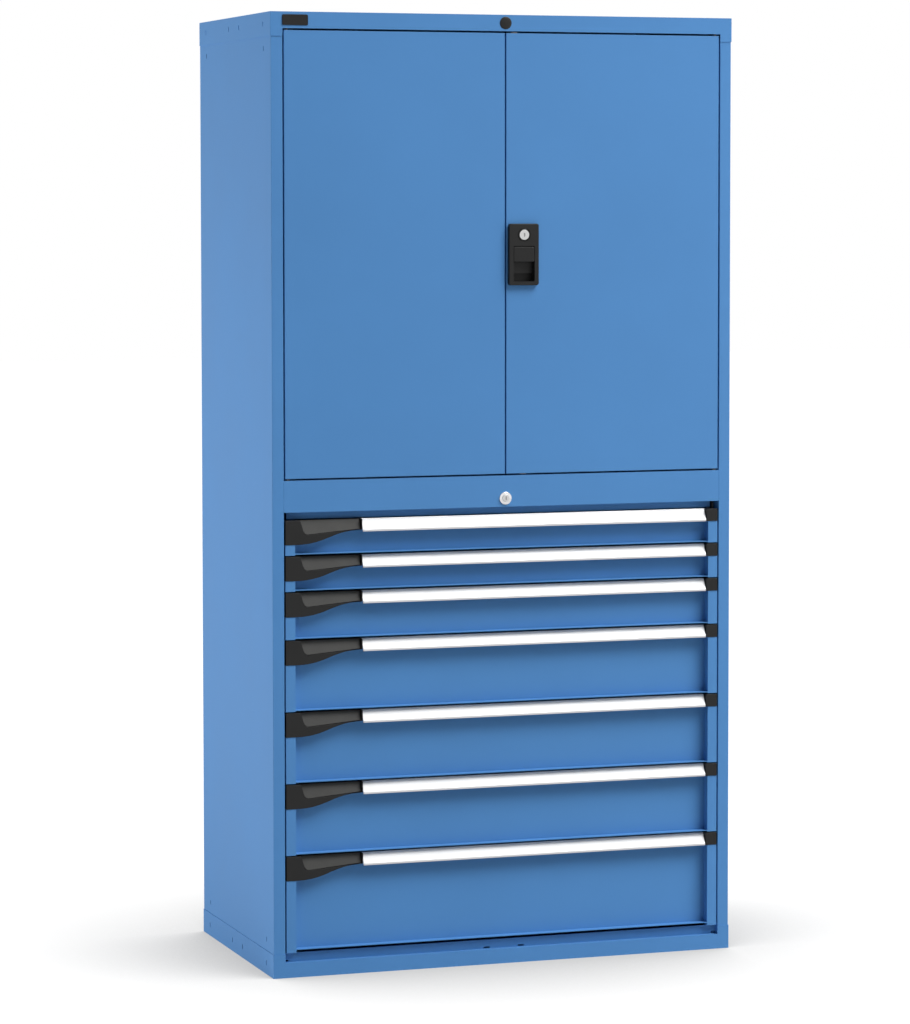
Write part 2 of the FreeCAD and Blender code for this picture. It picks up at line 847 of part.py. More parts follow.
def make_door(side):
    pieces = [block(door_in, door_out, face_y, face_y + door_sheet, door_bottom, door_top)]
    flange_y = door_back - door_sheet
    for x, inward in ((door_in, 1), (door_out, -1)):
        pieces.append(block(x, x + inward * door_sheet, face_y, door_back, door_bottom, door_top))
        pieces.append(block(x, x + inward * door_flange, flange_y, door_back, door_bottom, door_top))
    for z, inward in ((door_bottom, 1), (door_top, -1)):
        pieces.append(block(door_in, door_out, face_y, door_back, z, z + inward * door_sheet))
        pieces.append(block(door_in, door_out, flange_y, door_back, z, z + inward * door_flange))
    middle = (door_in + door_out) / 2
    low = door_bottom + stiffener_gap
    high = door_top - stiffener_gap
    pieces.append(block(middle - stiffener_width / 2, middle + stiffener_width / 2,
                        flange_y, door_back, low, high))
    for edge in (-1, 1):
        web = middle + edge * stiffener_width / 2
        pieces.append(block(web, web - edge * door_sheet, face_y, door_back, low, high))
        pieces.append(block(web, web + edge * stiffener_foot, face_y, face_y + door_sheet + door_sheet,
                            low, high))
    if side > 0:
        pieces = pieces + rod_guide(upper_rod_x, door_top - door_flange, door_top - door_sheet)
        pieces = pieces + rod_guide(lower_rod_x, door_bottom + door_sheet, door_bottom + door_flange)
    door = round_edges(joined(pieces), corner_bend, is_door_rim)
    cutters = []
    hole = hinge_pin_radius + pin_clearance
    cutters.append(along_z(hinge_x, hinge_y, hole, door_bottom - overrun,
                           door_bottom + hinge_pin_reach + running_gap))
    cutters.append(along_z(hinge_x, hinge_y, hole, door_top - hinge_pin_reach - running_gap,
                           door_top + overrun))
    if side > 0:
        cutters.append(handle_body(-overrun))
    return on_side(door.cut(cutters), side)


def is_door_rim(edge):
    centre = edge.CenterOfMass
    on_face = abs(centre.y - face_y) < running_gap
    on_side_edge = min(abs(centre.x - door_in), abs(centre.x - door_out)) < running_gap
    on_end_edge = min(abs(centre.z - door_bottom), abs(centre.z - door_top)) < running_gap
    return on_face and (on_side_edge or on_end_edge)


def rod_guide(x, z0, z1):
    half = rod_width / 2 + running_gap
    bridge = rod_back + running_gap
    pieces = [block(x - half - rod_guide_wall, x + half + rod_guide_wall,
                    bridge, bridge + rod_guide_wall, z0, z1)]
    for edge in (-1, 1):
        pieces.append(block(x + edge * half, x + edge * (half + rod_guide_wall),
                            door_back - door_sheet, bridge + rod_guide_wall, z0, z1))
    return pieces


def handle_body(ahead):
    inset = handle_body_inset
    return block(handle_left + inset, handle_left + handle_width - inset, face_y + ahead, handle_back,
                 handle_bottom + inset, handle_bottom + handle_height - inset)


def make_handle_housing():
    plate = rounded_plate(handle_left, handle_left + handle_width, handle_front, face_y,
                          handle_bottom, handle_bottom + handle_height, handle_corner)
    key_z = handle_bottom + key_rise
    bezel = along_y(handle_middle, key_z, key_bezel_radius, handle_front - key_bezel_proud, face_y)
    housing = joined([plate, handle_body(0), bezel])
    cup_low = handle_bottom + cup_bottom
    cutters = [rounded_plate(handle_middle - cup_width / 2, handle_middle + cup_width / 2,
                             handle_front - overrun, handle_front + cup_depth,
                             cup_low, handle_bottom + cup_top, cup_corner)]
    cutters.append(rounded_plate(handle_middle - cup_width / 2, handle_middle + cup_width / 2,
                                 handle_front - overrun, handle_front + pocket_depth,
                                 cup_low, cup_low + pocket_height, cup_corner))
    cutters.append(along_y(handle_middle, key_z, key_face_radius + pin_clearance,
                           handle_front - overrun, handle_back + overrun))
    cutters.append(along_y(handle_middle, rocker_height, rocker_axle_radius + pin_clearance,
                           handle_front + cup_depth - overrun, handle_back + overrun))
    cutters.append(block(paddle_arm_x - arm_window_side, paddle_arm_x + paddle_arm_width + arm_window_side,
                         handle_front + cup_depth - overrun, handle_back + overrun,
                         rocker_height - arm_window_height / 2,
                         rocker_height + arm_window_height / 2))
    cutters.append(paddle_pins(paddle_pin_radius + pin_clearance, running_gap))
    return housing.cut(cutters)


def paddle_pins(radius, extra):
    half = cup_width / 2 - paddle_side_gap + paddle_pin_reach + extra
    return rod_along((1, 0, 0), handle_middle - half, paddle_pivot_y, paddle_pivot_z, radius, half + half)


def make_handle_paddle():
    half = cup_width / 2 - paddle_side_gap
    low = paddle_top - paddle_height
    inner = handle_front + paddle_thickness
    pieces = [block(handle_middle - half, handle_middle + half, handle_front, inner,
                    low, paddle_pivot_z + paddle_head)]
    pieces.append(block(handle_middle - half, handle_middle + half, handle_front,
                        inner + paddle_lip_depth, low, low + paddle_lip_height))
    arm_low = rocker_height + rocker_lever_height / 2 + running_gap
    pieces.append(block(paddle_arm_x, paddle_arm_x + paddle_arm_width, handle_front,
                        lever_front + rocker_sheet - running_gap,
                        arm_low, arm_low + paddle_arm_thickness))
    pieces.append(paddle_pins(paddle_pin_radius, 0))
    return joined(pieces)


def make_handle_lock_plug():
    key_z = handle_bottom + key_rise
    front = handle_front - key_face_proud
    plug = along_y(handle_middle, key_z, key_face_radius, front, handle_back + running_gap)
    tail = block(handle_middle - key_tail_width / 2, handle_middle + key_tail_width / 2,
                 handle_back + running_gap, handle_back + running_gap + key_tail_thickness,
                 key_z - key_face_radius, key_z + key_tail_width / 2)
    return joined([plug, tail]).cut(keyway(handle_middle, key_z, front))


def keyway(x, z, front):
    return block(x - keyway_width / 2, x + keyway_width / 2, front - overrun, front + keyway_depth,
                 z - keyway_height / 2, z + keyway_height / 2)


def make_rod_cam():
    disc_back = rocker_disc_front + rocker_sheet
    pieces = [along_y(handle_middle, rocker_height, rocker_radius, rocker_disc_front, disc_back)]
    pieces.append(along_y(handle_middle, rocker_height, rocker_axle_radius,
                          handle_front + cup_depth + rocker_axle_setback, disc_back))
    for side in (-1, 1):
        pieces.append(along_y(handle_middle + side * rocker_pin_offset, rocker_height,
                              rocker_pin_radius, rod_front, disc_back))
    pieces.append(block(handle_middle - rocker_lever_reach, handle_middle,
                        lever_front, lever_front + rocker_sheet,
                        rocker_height - rocker_lever_height / 2,
                        rocker_height + rocker_lever_height / 2))
    return joined(pieces)


def make_rod(x, tip_z, upward):
    slot_half = rocker_pin_radius + rod_slot_clearance
    tail_z = rocker_height - upward * (slot_half + rod_end_wall)
    bar = block(x - rod_width / 2, x + rod_width / 2, rod_front, rod_back, tail_z, tip_z)
    notch = block(x - upward * slot_half, x + upward * rod_width, rod_front - overrun,
                  rod_back + overrun, rocker_height - slot_half, rocker_height + slot_half)
    return bar.cut(notch)


# Drawer lock

def make_drawer_lock_body():
    barrel_end = face_y + lock_barrel_depth
    ring = along_y(0, lock_height, lock_ring_radius, face_y - lock_ring_proud, face_y)
    barrel = along_y(0, lock_height, lock_barrel_radius, face_y, barrel_end)
    nut = along_y(0, lock_height, lock_nut_radius, face_y + floor_sheet,
                  face_y + floor_sheet + lock_nut_height)
    bore = along_y(0, lock_height, lock_plug_radius + pin_clearance,
                   face_y - lock_ring_proud - overrun, barrel_end + overrun)
    return joined([ring, barrel, nut]).cut(bore)


def make_drawer_lock_plug():
    front = face_y - lock_plug_proud
    cam_front = face_y + lock_barrel_depth + running_gap
    plug = along_y(0, lock_height, lock_plug_radius, front, cam_front)
    cam = along_y(0, lock_height, bar_travel + lock_pin_radius + lock_pin_radius,
                  cam_front, cam_front + lock_cam_sheet)
    pin = along_y(0, lock_height + bar_travel, lock_pin_radius, cam_front, bar_y1)
    return joined([plug, cam, pin]).cut(keyway(0, lock_height, front))


def make_lock_bar():
    link_middle = lock_height + bar_travel / 2
    link_top = link_middle + bar_link_height / 2
    lug_lows = [bottom + lug_rise for bottom in drawer_bottoms()]
    pieces = [block(-bar_link_overhang, bar_out, bar_y0, bar_y1,
                    link_middle - bar_link_height / 2, link_top)]
    pieces.append(block(bar_in, bar_out, bar_y0, bar_y1, min(lug_lows) - bar_tail, link_top))
    for low in lug_lows:
        pieces.append(block(bar_in - hook_length, bar_in, bar_y0, bar_y1, low, low + lug_height))
    half = lock_pin_radius + lock_slot_slack
    cutters = [block(-half, half, bar_y0 - overrun, bar_y1 + overrun,
                     lock_height - half, lock_height + bar_travel + half)]
    reach = stud_radius + running_gap
    for z in stud_heights():
        cutters.append(block(stud_x() - reach, stud_x() + bar_travel + reach,
                             bar_y0 - overrun, bar_y1 + overrun, z - reach, z + reach))
    return joined(pieces).cut(cutters)


# Small pieces on the cap

def make_cap_plug():
    z = cabinet_height - plug_drop
    head = along_y(0, z, plug_radius, front_y - plug_head, front_y)
    stem = along_y(0, z, plug_stem_radius, front_y, front_y + plug_stem_length)
    return joined([head, stem])


def make_badge_plate():
    high = cabinet_height - badge_drop
    return rounded_plate(badge_inset - half_width, badge_inset - half_width + badge_width,
                         front_y - badge_thickness, front_y, high - badge_height, high, badge_corner)


os.makedirs("parts", exist_ok=True)
save("top_cap", make_top_cap())
save("base_tray", make_base_tray())
save("side_panel_left", make_side_panel(-1))
save("side_panel_right", make_side_panel(1))
save("back_panel", make_back_panel())
save("back_rivets", make_back_rivets())
save("middle_floor", make_middle_floor())
save("hinge_pins", make_hinge_pins())
save("shelves", make_shelves())
save("shelf_brackets", make_shelf_brackets())
save("runner_uprights", make_runner_uprights())
save("cabinet_rails", make_cabinet_rails())
save_drawers()
save("cap_plug", make_cap_plug())
save("badge_plate", make_badge_plate())
save("left_door", make_door(-1))
save("right_door", make_door(1))
save("handle_housing", make_handle_housing())
save("handle_paddle", make_handle_paddle())
save("handle_lock_plug", make_handle_lock_plug())
save("rod_cam", make_rod_cam())
save("upper_rod", make_rod(upper_rod_x, cap_front_bottom - rod_tip_gap, 1))
save("lower_rod", make_rod(lower_rod_x, rail_top + rod_tip_gap, -1))
save("drawer_lock_body", make_drawer_lock_body())
save("drawer_lock_plug", make_drawer_lock_plug())
save("lock_bar", make_lock_bar())
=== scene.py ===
import json
import math

import bmesh
import bpy
from mathutils import Matrix, Vector


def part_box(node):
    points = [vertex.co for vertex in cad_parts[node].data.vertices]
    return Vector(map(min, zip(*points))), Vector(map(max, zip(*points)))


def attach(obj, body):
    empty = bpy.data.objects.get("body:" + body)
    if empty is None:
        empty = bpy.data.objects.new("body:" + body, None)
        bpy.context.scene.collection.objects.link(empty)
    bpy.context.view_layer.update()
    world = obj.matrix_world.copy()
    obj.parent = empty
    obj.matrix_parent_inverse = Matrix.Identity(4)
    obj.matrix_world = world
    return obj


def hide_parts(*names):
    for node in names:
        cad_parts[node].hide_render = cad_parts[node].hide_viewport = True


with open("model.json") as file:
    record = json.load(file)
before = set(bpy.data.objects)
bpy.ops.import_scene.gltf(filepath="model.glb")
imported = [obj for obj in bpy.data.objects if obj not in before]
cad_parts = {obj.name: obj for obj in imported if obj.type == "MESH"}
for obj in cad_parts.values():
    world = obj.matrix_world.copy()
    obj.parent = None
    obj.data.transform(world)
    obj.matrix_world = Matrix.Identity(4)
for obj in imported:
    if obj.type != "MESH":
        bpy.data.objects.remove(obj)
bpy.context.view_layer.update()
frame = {"nodes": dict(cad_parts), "record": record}

# Metres, X to the right, Y to the back, Z up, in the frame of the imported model.

# The photograph's camera
frame_width_px = 910
frame_height_px = 1024
focal_px = 3830.1
axis_px = (455.0, 430.0)
camera_place = (-2.7028, -7.8439, 1.6119)
camera_yaw = math.radians(18.8972)
camera_pitch = math.radians(-3.4208)
camera_roll = math.radians(-0.0473)
camera_reach = 300.0
sensor_mm = 36.0

# Light
world_level = 0.05
white_level = 1.0
key_power = 2170.0
key_size = 7.5
key_place = (5.6, -6.0, 11.6)
side_power = 127.0
side_size = 2.2
side_place = (-3.7, 1.0, 0.4)
right_power = 13.0
right_size = 1.0
right_place = (2.3, -1.35, 1.5)
aim_height = 1.0
floor_half = 30.0
floor_albedo = 0.10
floor_bounce = 0.60
# Floor glow, and the reach and samples of the painted contact shadow in it
floor_lift = 1.06
shade_distance = 0.7
shade_samples = 16

# Colours, linear
blue = (0.080, 0.250, 0.550)
black = (0.008, 0.008, 0.008)
catch_black = (0.035, 0.035, 0.033)
label_white = (0.84, 0.84, 0.835)
aluminium_grey = (0.55, 0.55, 0.56)
zinc_grey = (0.50, 0.51, 0.52)
dark_steel_grey = (0.06, 0.06, 0.062)
chrome_grey = (0.72, 0.72, 0.73)
key_grey = (0.55, 0.55, 0.55)

# Darkest and lightest shade within one surface, as factors of its colour
paint_shades = (0.97, 1.03)
plastic_shades = (0.9, 1.12)
metal_shades = (0.92, 1.05)
label_shades = (0.985, 1.0)

# Gloss, and how far the roughness swings within one surface
paint_sheen = 0.25
plastic_sheen = 0.25
paint_roughness = 0.58
plastic_roughness = 0.42
catch_roughness = 0.5
zinc_roughness = 0.42
dark_steel_roughness = 0.40
chrome_roughness = 0.16
key_roughness = 0.34
aluminium_roughness = 0.35
label_roughness = (0.30, 0.38)
paint_swing = 0.04
plastic_swing = (0.05, 0.08)
metal_swing = (0.06, 0.08)

# Fine relief of the surfaces: depth in metres, and strength
peel_relief = 0.0004
fine_relief = 0.0001
moulded_relief = 0.0002
peel_strength = 0.10
paint_grain_strength = 0.08
plastic_grain_strength = 0.25
brush_strength = 0.12
fibre_strength = 0.03

# Noise: repeats per metre, steps of detail, and how strongly each step shows
paint_cloud = (3.0, 3.0, 0.5)
paint_peel = (900.0, 2.0, 0.5)
paint_grain = (2600.0, 1.0, 0.4)
plastic_cloud = (25.0, 2.0, 0.5)
plastic_grain = (2200.0, 3.0, 0.6)
label_fibre = (700.0, 4.0, 0.6)
noise_low = 0.3
noise_high = 0.7

# Brush marks: steps of detail, and repeats per metre along X, Y and Z
brush_detail = 4.0
zinc_brush = (40.0, 400.0, 40.0)
dark_steel_brush = (300.0, 300.0, 60.0)
chrome_brush = (900.0, 60.0, 900.0)
key_brush = (700.0, 60.0, 700.0)
aluminium_brush = (4.0, 1500.0, 1500.0)

# Curves
corner_steps = 6
arc_steps = 5
turn_steps = 64
bevel_segments = 3
sharp_angle = math.radians(35)
broad_face_weight = 100

# Drawer fronts
sheet = 0.0012
strip_setback = 0.012
strip_slope_height = 0.0223
strip_lip_height = 0.0045
strip_wall = 0.002
strip_lip_thickness = 0.003
crest_ease = 0.0012
lip_ease = 0.0010
label_margin_top = 0.0008
label_margin_foot = 0.0006
label_bed = 0.0005
label_thickness = 0.00035
label_end_gap = 0.0004
grip_gap = 0.0015
grip_width = 0.1665
grip_inner_height = 0.0226
grip_curve_start_share = 0.135
grip_curve_pull_share = 0.41
grip_curve_steps = 28
grip_edge = 0.0006
scoop_left = 0.0308
scoop_foot = 0.0413
scoop_height = 0.031
scoop_right_height = 0.0215
scoop_end_gap = 0.0024
scoop_corner = 0.007
scoop_far_corner = 0.0015
catch_thickness = 0.0022
catch_pocket = 0.0055
catch_side_gap = 0.0008
catch_edge = 0.0005
end_cap_height = 0.0266
end_cap_wall = 0.002
end_cap_corner = 0.0012
end_cap_edge = 0.0007
overrun = 0.004

# Door handle
plate_corner = 0.0045
plate_edge = 0.0016
body_inset = 0.007
cup_half_width = 0.0235
cup_bottom = 0.008
cup_height = 0.0744
cup_depth = 0.015
cup_corner = 0.0024
pocket_height = 0.017
pocket_depth = 0.024
handle_edge = 0.0006
key_cup_gap = 0.010
bezel_radius = 0.0135
bezel_proud = 0.001
bezel_depth = 0.002
bezel_groove = 0.0008
key_ring_gap = 0.0016
key_ring_depth = 0.0035
key_radius = 0.0107
key_gap = 0.0002
paddle_side_gap = 0.0006
paddle_thickness = 0.003
paddle_edge = 0.0012
paddle_corner = 0.0024
paddle_lip_depth = 0.005
paddle_lip_height = 0.0025
paddle_lip_corner = paddle_lip_height / 3
paddle_head = 0.0022
paddle_pivot_setback = 0.002
paddle_pin_radius = 0.0015
paddle_arm_width = 0.0055
paddle_arm_thickness = 0.003
arm_window_height = 0.024
arm_window_side = 0.001
axle_radius = 0.003
lever_height = 0.006
bore_gap = 0.0001
running_gap = 0.0003

# Key plugs and lock ring
keyway_width = 0.0026
keyway_height = 0.008
keyway_depth = 0.004
keyway_corner = keyway_width / 3
key_tail_width = 0.006
key_tail_thickness = 0.002
face_edge = 0.0005
ring_dish = 0.0012
lock_plug_radius = 0.0075
lock_barrel_radius = 0.0095
lock_pin_radius = 0.002
lock_pin_throw = 0.006
lock_cam_sheet = 0.0025

# Plates on the cap
plug_dome = 0.0016
plug_stem_share = 0.75
badge_corner = 0.0025
badge_edge = 0.0005
badge_border = 0.0016
badge_inset_depth = 0.0003

drawer_numbers = range(1, 8)


# Materials

def new_material(name):
    material = bpy.data.materials.new(name)
    material.use_nodes = True
    nodes = material.node_tree.nodes
    shader = nodes["Principled BSDF"]
    return material, nodes, material.node_tree.links, shader


def object_noise(nodes, links, scale, detail, rough):
    place = nodes.new("ShaderNodeTexCoord")
    noise = nodes.new("ShaderNodeTexNoise")
    noise.inputs["Scale"].default_value = scale
    noise.inputs["Detail"].default_value = detail
    noise.inputs["Roughness"].default_value = rough
    links.new(place.outputs["Object"], noise.inputs["Vector"])
    return noise.outputs["Fac"]


def shade(colour, factor):
    return tuple(min(1.0, channel * factor) for channel in colour)


def ramp(nodes, links, source, colour, shades):
    blend = nodes.new("ShaderNodeValToRGB")
    blend.color_ramp.elements[0].position = noise_low
    blend.color_ramp.elements[1].position = noise_high
    blend.color_ramp.elements[0].color = (*shade(colour, shades[0]), 1)
    blend.color_ramp.elements[1].color = (*shade(colour, shades[1]), 1)
    links.new(source, blend.inputs["Fac"])
    return blend.outputs["Color"]


def spread(nodes, links, source, low, high):
    reach = nodes.new("ShaderNodeMapRange")
    reach.inputs["To Min"].default_value = low
    reach.inputs["To Max"].default_value = high
    links.new(source, reach.inputs["Value"])
    return reach.outputs["Result"]


def bump(nodes, links, height, strength, distance, onto=None):
    node = nodes.new("ShaderNodeBump")
    node.inputs["Strength"].default_value = strength
    node.inputs["Distance"].default_value = distance
    links.new(height, node.inputs["Height"])
    if onto is not None:
        links.new(onto, node.inputs["Normal"])
    return node.outputs["Normal"]


def powder_coat(name, colour):
    material, nodes, links, shader = new_material(name)
    cloud = object_noise(nodes, links, *paint_cloud)
    links.new(ramp(nodes, links, cloud, colour, paint_shades), shader.inputs["Base Color"])
    peel = object_noise(nodes, links, *paint_peel)
    grain = object_noise(nodes, links, *paint_grain)
    links.new(spread(nodes, links, cloud, paint_roughness - paint_swing, paint_roughness + paint_swing),
              shader.inputs["Roughness"])
    shader.inputs["Specular IOR Level"].default_value = paint_sheen
    first = bump(nodes, links, peel, peel_strength, peel_relief)
    links.new(bump(nodes, links, grain, paint_grain_strength, fine_relief, first),
              shader.inputs["Normal"])
    return material


def moulded_plastic(name, colour, roughness):
    material, nodes, links, shader = new_material(name)
    grain = object_noise(nodes, links, *plastic_grain)
    cloud = object_noise(nodes, links, *plastic_cloud)
    links.new(ramp(nodes, links, cloud, colour, plastic_shades), shader.inputs["Base Color"])
    links.new(spread(nodes, links, grain, roughness - plastic_swing[0], roughness + plastic_swing[1]),
              shader.inputs["Roughness"])
    links.new(bump(nodes, links, grain, plastic_grain_strength, moulded_relief),
              shader.inputs["Normal"])
    shader.inputs["Specular IOR Level"].default_value = plastic_sheen
    return material


def brushed(name, colour, roughness, brush):
    material, nodes, links, shader = new_material(name)
    place = nodes.new("ShaderNodeTexCoord")
    stretch = nodes.new("ShaderNodeMapping")
    stretch.inputs["Scale"].default_value = brush
    links.new(place.outputs["Object"], stretch.inputs["Vector"])
    noise = nodes.new("ShaderNodeTexNoise")
    noise.inputs["Scale"].default_value = 1.0
    noise.inputs["Detail"].default_value = brush_detail
    links.new(stretch.outputs["Vector"], noise.inputs["Vector"])
    streak = noise.outputs["Fac"]
    links.new(ramp(nodes, links, streak, colour, metal_shades), shader.inputs["Base Color"])
    links.new(spread(nodes, links, streak, roughness - metal_swing[0], roughness + metal_swing[1]),
              shader.inputs["Roughness"])
    links.new(bump(nodes, links, streak, brush_strength, fine_relief), shader.inputs["Normal"])
    shader.inputs["Metallic"].default_value = 1.0
    return material


def satin_label(name, colour):
    material, nodes, links, shader = new_material(name)
    fibre = object_noise(nodes, links, *label_fibre)
    links.new(ramp(nodes, links, fibre, colour, label_shades), shader.inputs["Base Color"])
    links.new(spread(nodes, links, fibre, *label_roughness), shader.inputs["Roughness"])
    links.new(bump(nodes, links, fibre, fibre_strength, fine_relief), shader.inputs["Normal"])
    return material


paint = powder_coat("blue_powder_coat", blue)
plastic = moulded_plastic("black_plastic", black, plastic_roughness)
catch_plastic = moulded_plastic("catch_plastic", catch_black, catch_roughness)
zinc = brushed("zinc_plate", zinc_grey, zinc_roughness, zinc_brush)
dark_steel = brushed("blackened_steel", dark_steel_grey, dark_steel_roughness, dark_steel_brush)
chrome = brushed("lock_chrome", chrome_grey, chrome_roughness, chrome_brush)
key_metal = brushed("key_face", key_grey, key_roughness, key_brush)
aluminium = brushed("strip_aluminium", aluminium_grey, aluminium_roughness, aluminium_brush)
label = satin_label("label_white", label_white)

slot_materials = {"blue_paint": paint, "plated_steel": zinc, "dark_steel": dark_steel,
                  "black_plastic": plastic, "catch_plastic": catch_plastic,
                  "lock_chrome": chrome, "strip_aluminium": aluminium}
node_slots = {row["node"]: row["material_slot"] for row in frame["record"]["subparts"]}


def dress_nodes():
    for name, node in frame["nodes"].items():
        node.data.materials.clear()
        node.data.materials.append(slot_materials[node_slots[name]])


dress_nodes()


# Mesh building

def to_object(name, builder, material):
    bmesh.ops.recalc_face_normals(builder, faces=builder.faces)
    for face in builder.faces:
        face.smooth = True
    mesh = bpy.data.meshes.new(name)
    builder.to_mesh(mesh)
    builder.free()
    mesh.materials.append(material)
    piece = bpy.data.objects.new(name, mesh)
    bpy.context.collection.objects.link(piece)
    return piece


def add_loops(builder, rings):
    return [[builder.verts.new(point) for point in ring] for ring in rings]


def join_loops(builder, near, far):
    for index, vertex in enumerate(near):
        following = (index + 1) % len(near)
        builder.faces.new((vertex, near[following], far[following], far[index]))


def loft(builder, rings):
    loops = add_loops(builder, rings)
    for near, far in zip(loops, loops[1:]):
        join_loops(builder, near, far)
    builder.faces.new(loops[0])
    builder.faces.new(loops[-1])


def eased(points, cuts):
    # The outline with each corner drawn in as a curve that starts its cut away
    result = []
    for index, (point, cut) in enumerate(zip(points, cuts)):
        corner = Vector(point)
        if not cut:
            result.append(corner)
            continue
        start = corner + (Vector(points[index - 1]) - corner).normalized() * cut
        end = corner + (Vector(points[(index + 1) % len(points)]) - corner).normalized() * cut
        for step in range(arc_steps + 1):
            t = step / arc_steps
            result.append(start.lerp(corner, t).lerp(corner.lerp(end, t), t))
    return result


def rounded_outline(x0, x1, z0, z1, radius):
    points = []
    for x, z, quarter in ((x1 - radius, z1 - radius, 0), (x0 + radius, z1 - radius, 1),
                          (x0 + radius, z0 + radius, 2), (x1 - radius, z0 + radius, 3)):
        for step in range(corner_steps + 1):
            angle = math.pi / 2 * (quarter + step / corner_steps)
            points.append((x + radius * math.cos(angle), z + radius * math.sin(angle)))
    return points


def at_depth(outline, y):
    return [(x, y, z) for x, z in outline]


def circle(x, z, radius):
    return [(x + radius * math.cos(math.tau * step / turn_steps),
             z + radius * math.sin(math.tau * step / turn_steps)) for step in range(turn_steps)]


def turned(x, z, profile):
    # Rings about an axis along Y, from (radius, y) pairs
    return [at_depth(circle(x, z, radius), y) for radius, y in profile]


def rounded_plate(x0, x1, z0, z1, corner, edge, front, back):
    # Rings of a plate whose front edge rolls back over one quarter turn
    rings = []
    for step in range(arc_steps + 1):
        angle = math.pi / 2 * step / arc_steps
        inset = edge - edge * math.sin(angle)
        y = front + edge - edge * math.cos(angle)
        rings.append(at_depth(rounded_outline(x0 + inset, x1 - inset, z0 + inset, z1 - inset,
                                              corner - inset), y))
    rings.append(at_depth(rounded_outline(x0, x1, z0, z1, corner), back))
    return rings


def lofted(name, rings, material):
    builder = bmesh.new()
    loft(builder, rings)
    return to_object(name, builder, material)


def settle(piece):
    # Works the piece's modifiers into its mesh
    graph = bpy.context.evaluated_depsgraph_get()
    mesh = bpy.data.meshes.new_from_object(piece.evaluated_get(graph))
    piece.modifiers.clear()
    piece.data = mesh
    return piece


def combine(piece, other, operation):
    boolean = piece.modifiers.new(operation.lower(), "BOOLEAN")
    boolean.operation = operation
    boolean.solver = "EXACT"
    boolean.object = other
    settle(piece)
    bpy.data.objects.remove(other)
    return piece


def cut_out(piece, rings):
    return combine(piece, lofted("cutter", rings, piece.data.materials[0]), "DIFFERENCE")


def add_on(piece, rings):
    return combine(piece, lofted("addition", rings, piece.data.materials[0]), "UNION")


def soften(piece, width):
    bevel = piece.modifiers.new("rounded_edges", "BEVEL")
    bevel.width = width
    bevel.segments = bevel_segments
    bevel.limit_method = "ANGLE"
    bevel.angle_limit = sharp_angle
    return piece


def level_faces(piece):
    # Shades the broad faces flat and the rounded edges smooth
    for face in piece.data.polygons:
        face.use_smooth = True
    weighted = piece.modifiers.new("weighted_normals", "WEIGHTED_NORMAL")
    weighted.weight = broad_face_weight
    weighted.keep_sharp = True
    return settle(piece)


def stand_for(piece, body, slot, *nodes):
    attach(piece, body)
    if nodes:
        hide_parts(*nodes)


# Drawer fronts, drawn for the top drawer and repeated on the others

strip_low, strip_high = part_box("drawer_1_handle_strip")
moulding_low, moulding_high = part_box("drawer_1_end_mouldings")
front_y = strip_low.y
recess_y = strip_high.y - sheet
crest_z = strip_high.z
strip_left = strip_low.x
strip_right = strip_high.x
grip_left = moulding_low.x
grip_right = grip_left + grip_width


def on_each_drawer(name, first, slot, replaced=None):
    for number in drawer_numbers:
        piece = first
        if number > 1:
            piece = bpy.data.objects.new(first.name, first.data.copy())
            bpy.context.collection.objects.link(piece)
        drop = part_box("drawer_%d_handle_strip" % number)[1].z - crest_z
        piece.data.transform(Matrix.Translation((0, 0, drop)))
        piece.name = "%s_%d" % (name, number)
        body = "catch_%d" % number if replaced == "catch" else "drawer_%d" % number
        nodes = ["drawer_%d_%s" % (number, replaced)] if replaced else []
        stand_for(piece, body, slot, *nodes)


def slope_point(along, inward):
    # A point of the slope in (y, z), from its crest down and from its face in
    crest = Vector((front_y + strip_setback, crest_z))
    foot = Vector((front_y, crest_z - strip_slope_height))
    way = (foot - crest).normalized()
    inner = Vector((-way.y, way.x))
    return tuple(crest + way * along + inner * inward)


def slope_length():
    return math.hypot(strip_setback, strip_slope_height)


def strip_section():
    foot = slope_length()
    lean = strip_setback / strip_slope_height
    lip_low = crest_z - strip_slope_height - strip_lip_height
    lip_back = front_y + strip_lip_thickness
    inner_high = crest_z - strip_wall
    inner_crest_y = front_y + strip_setback + strip_wall - strip_wall * lean
    inner_foot = inner_high - (inner_crest_y - lip_back) / lean
    web_front = recess_y - strip_wall
    web_low = inner_high - strip_lip_height
    points = [(strip_high.y, crest_z), slope_point(0, 0),
              slope_point(label_margin_top, 0), slope_point(label_margin_top, label_bed),
              slope_point(foot - label_margin_foot, label_bed), slope_point(foot - label_margin_foot, 0),
              slope_point(foot, 0), (front_y, lip_low), (lip_back, lip_low), (lip_back, inner_foot),
              (inner_crest_y, inner_high), (web_front, inner_high), (web_front, web_low),
              (recess_y, web_low), (recess_y, inner_high), (strip_high.y, inner_high)]
    cuts = [0, label_margin_top / 2, 0, 0, 0, 0, label_margin_foot / 2, lip_ease, lip_ease,
            crest_ease, crest_ease, 0, 0, 0, 0, 0]
    return eased(points, cuts)


def swept(name, section, x0, x1, material):
    rings = [[(x, y, z) for y, z in section] for x in (x0, x1)]
    return lofted(name, rings, material)


def sharp_faces(piece):
    piece.data.set_sharp_from_angle(angle=sharp_angle)
    return piece


def make_strip():
    return sharp_faces(swept("strip", strip_section(), strip_left, strip_right, aluminium))


def make_label():
    foot = slope_length() - label_margin_foot
    face = label_bed - label_thickness
    section = [slope_point(label_margin_top, face), slope_point(foot, face),
               slope_point(foot, label_bed), slope_point(label_margin_top, label_bed)]
    return sharp_faces(swept("label", section, strip_left + label_end_gap, strip_right - label_end_gap,
                             label))


def lean_y(z, behind):
    foot = crest_z - scoop_height
    return front_y + strip_setback * (z - foot) / scoop_height + behind


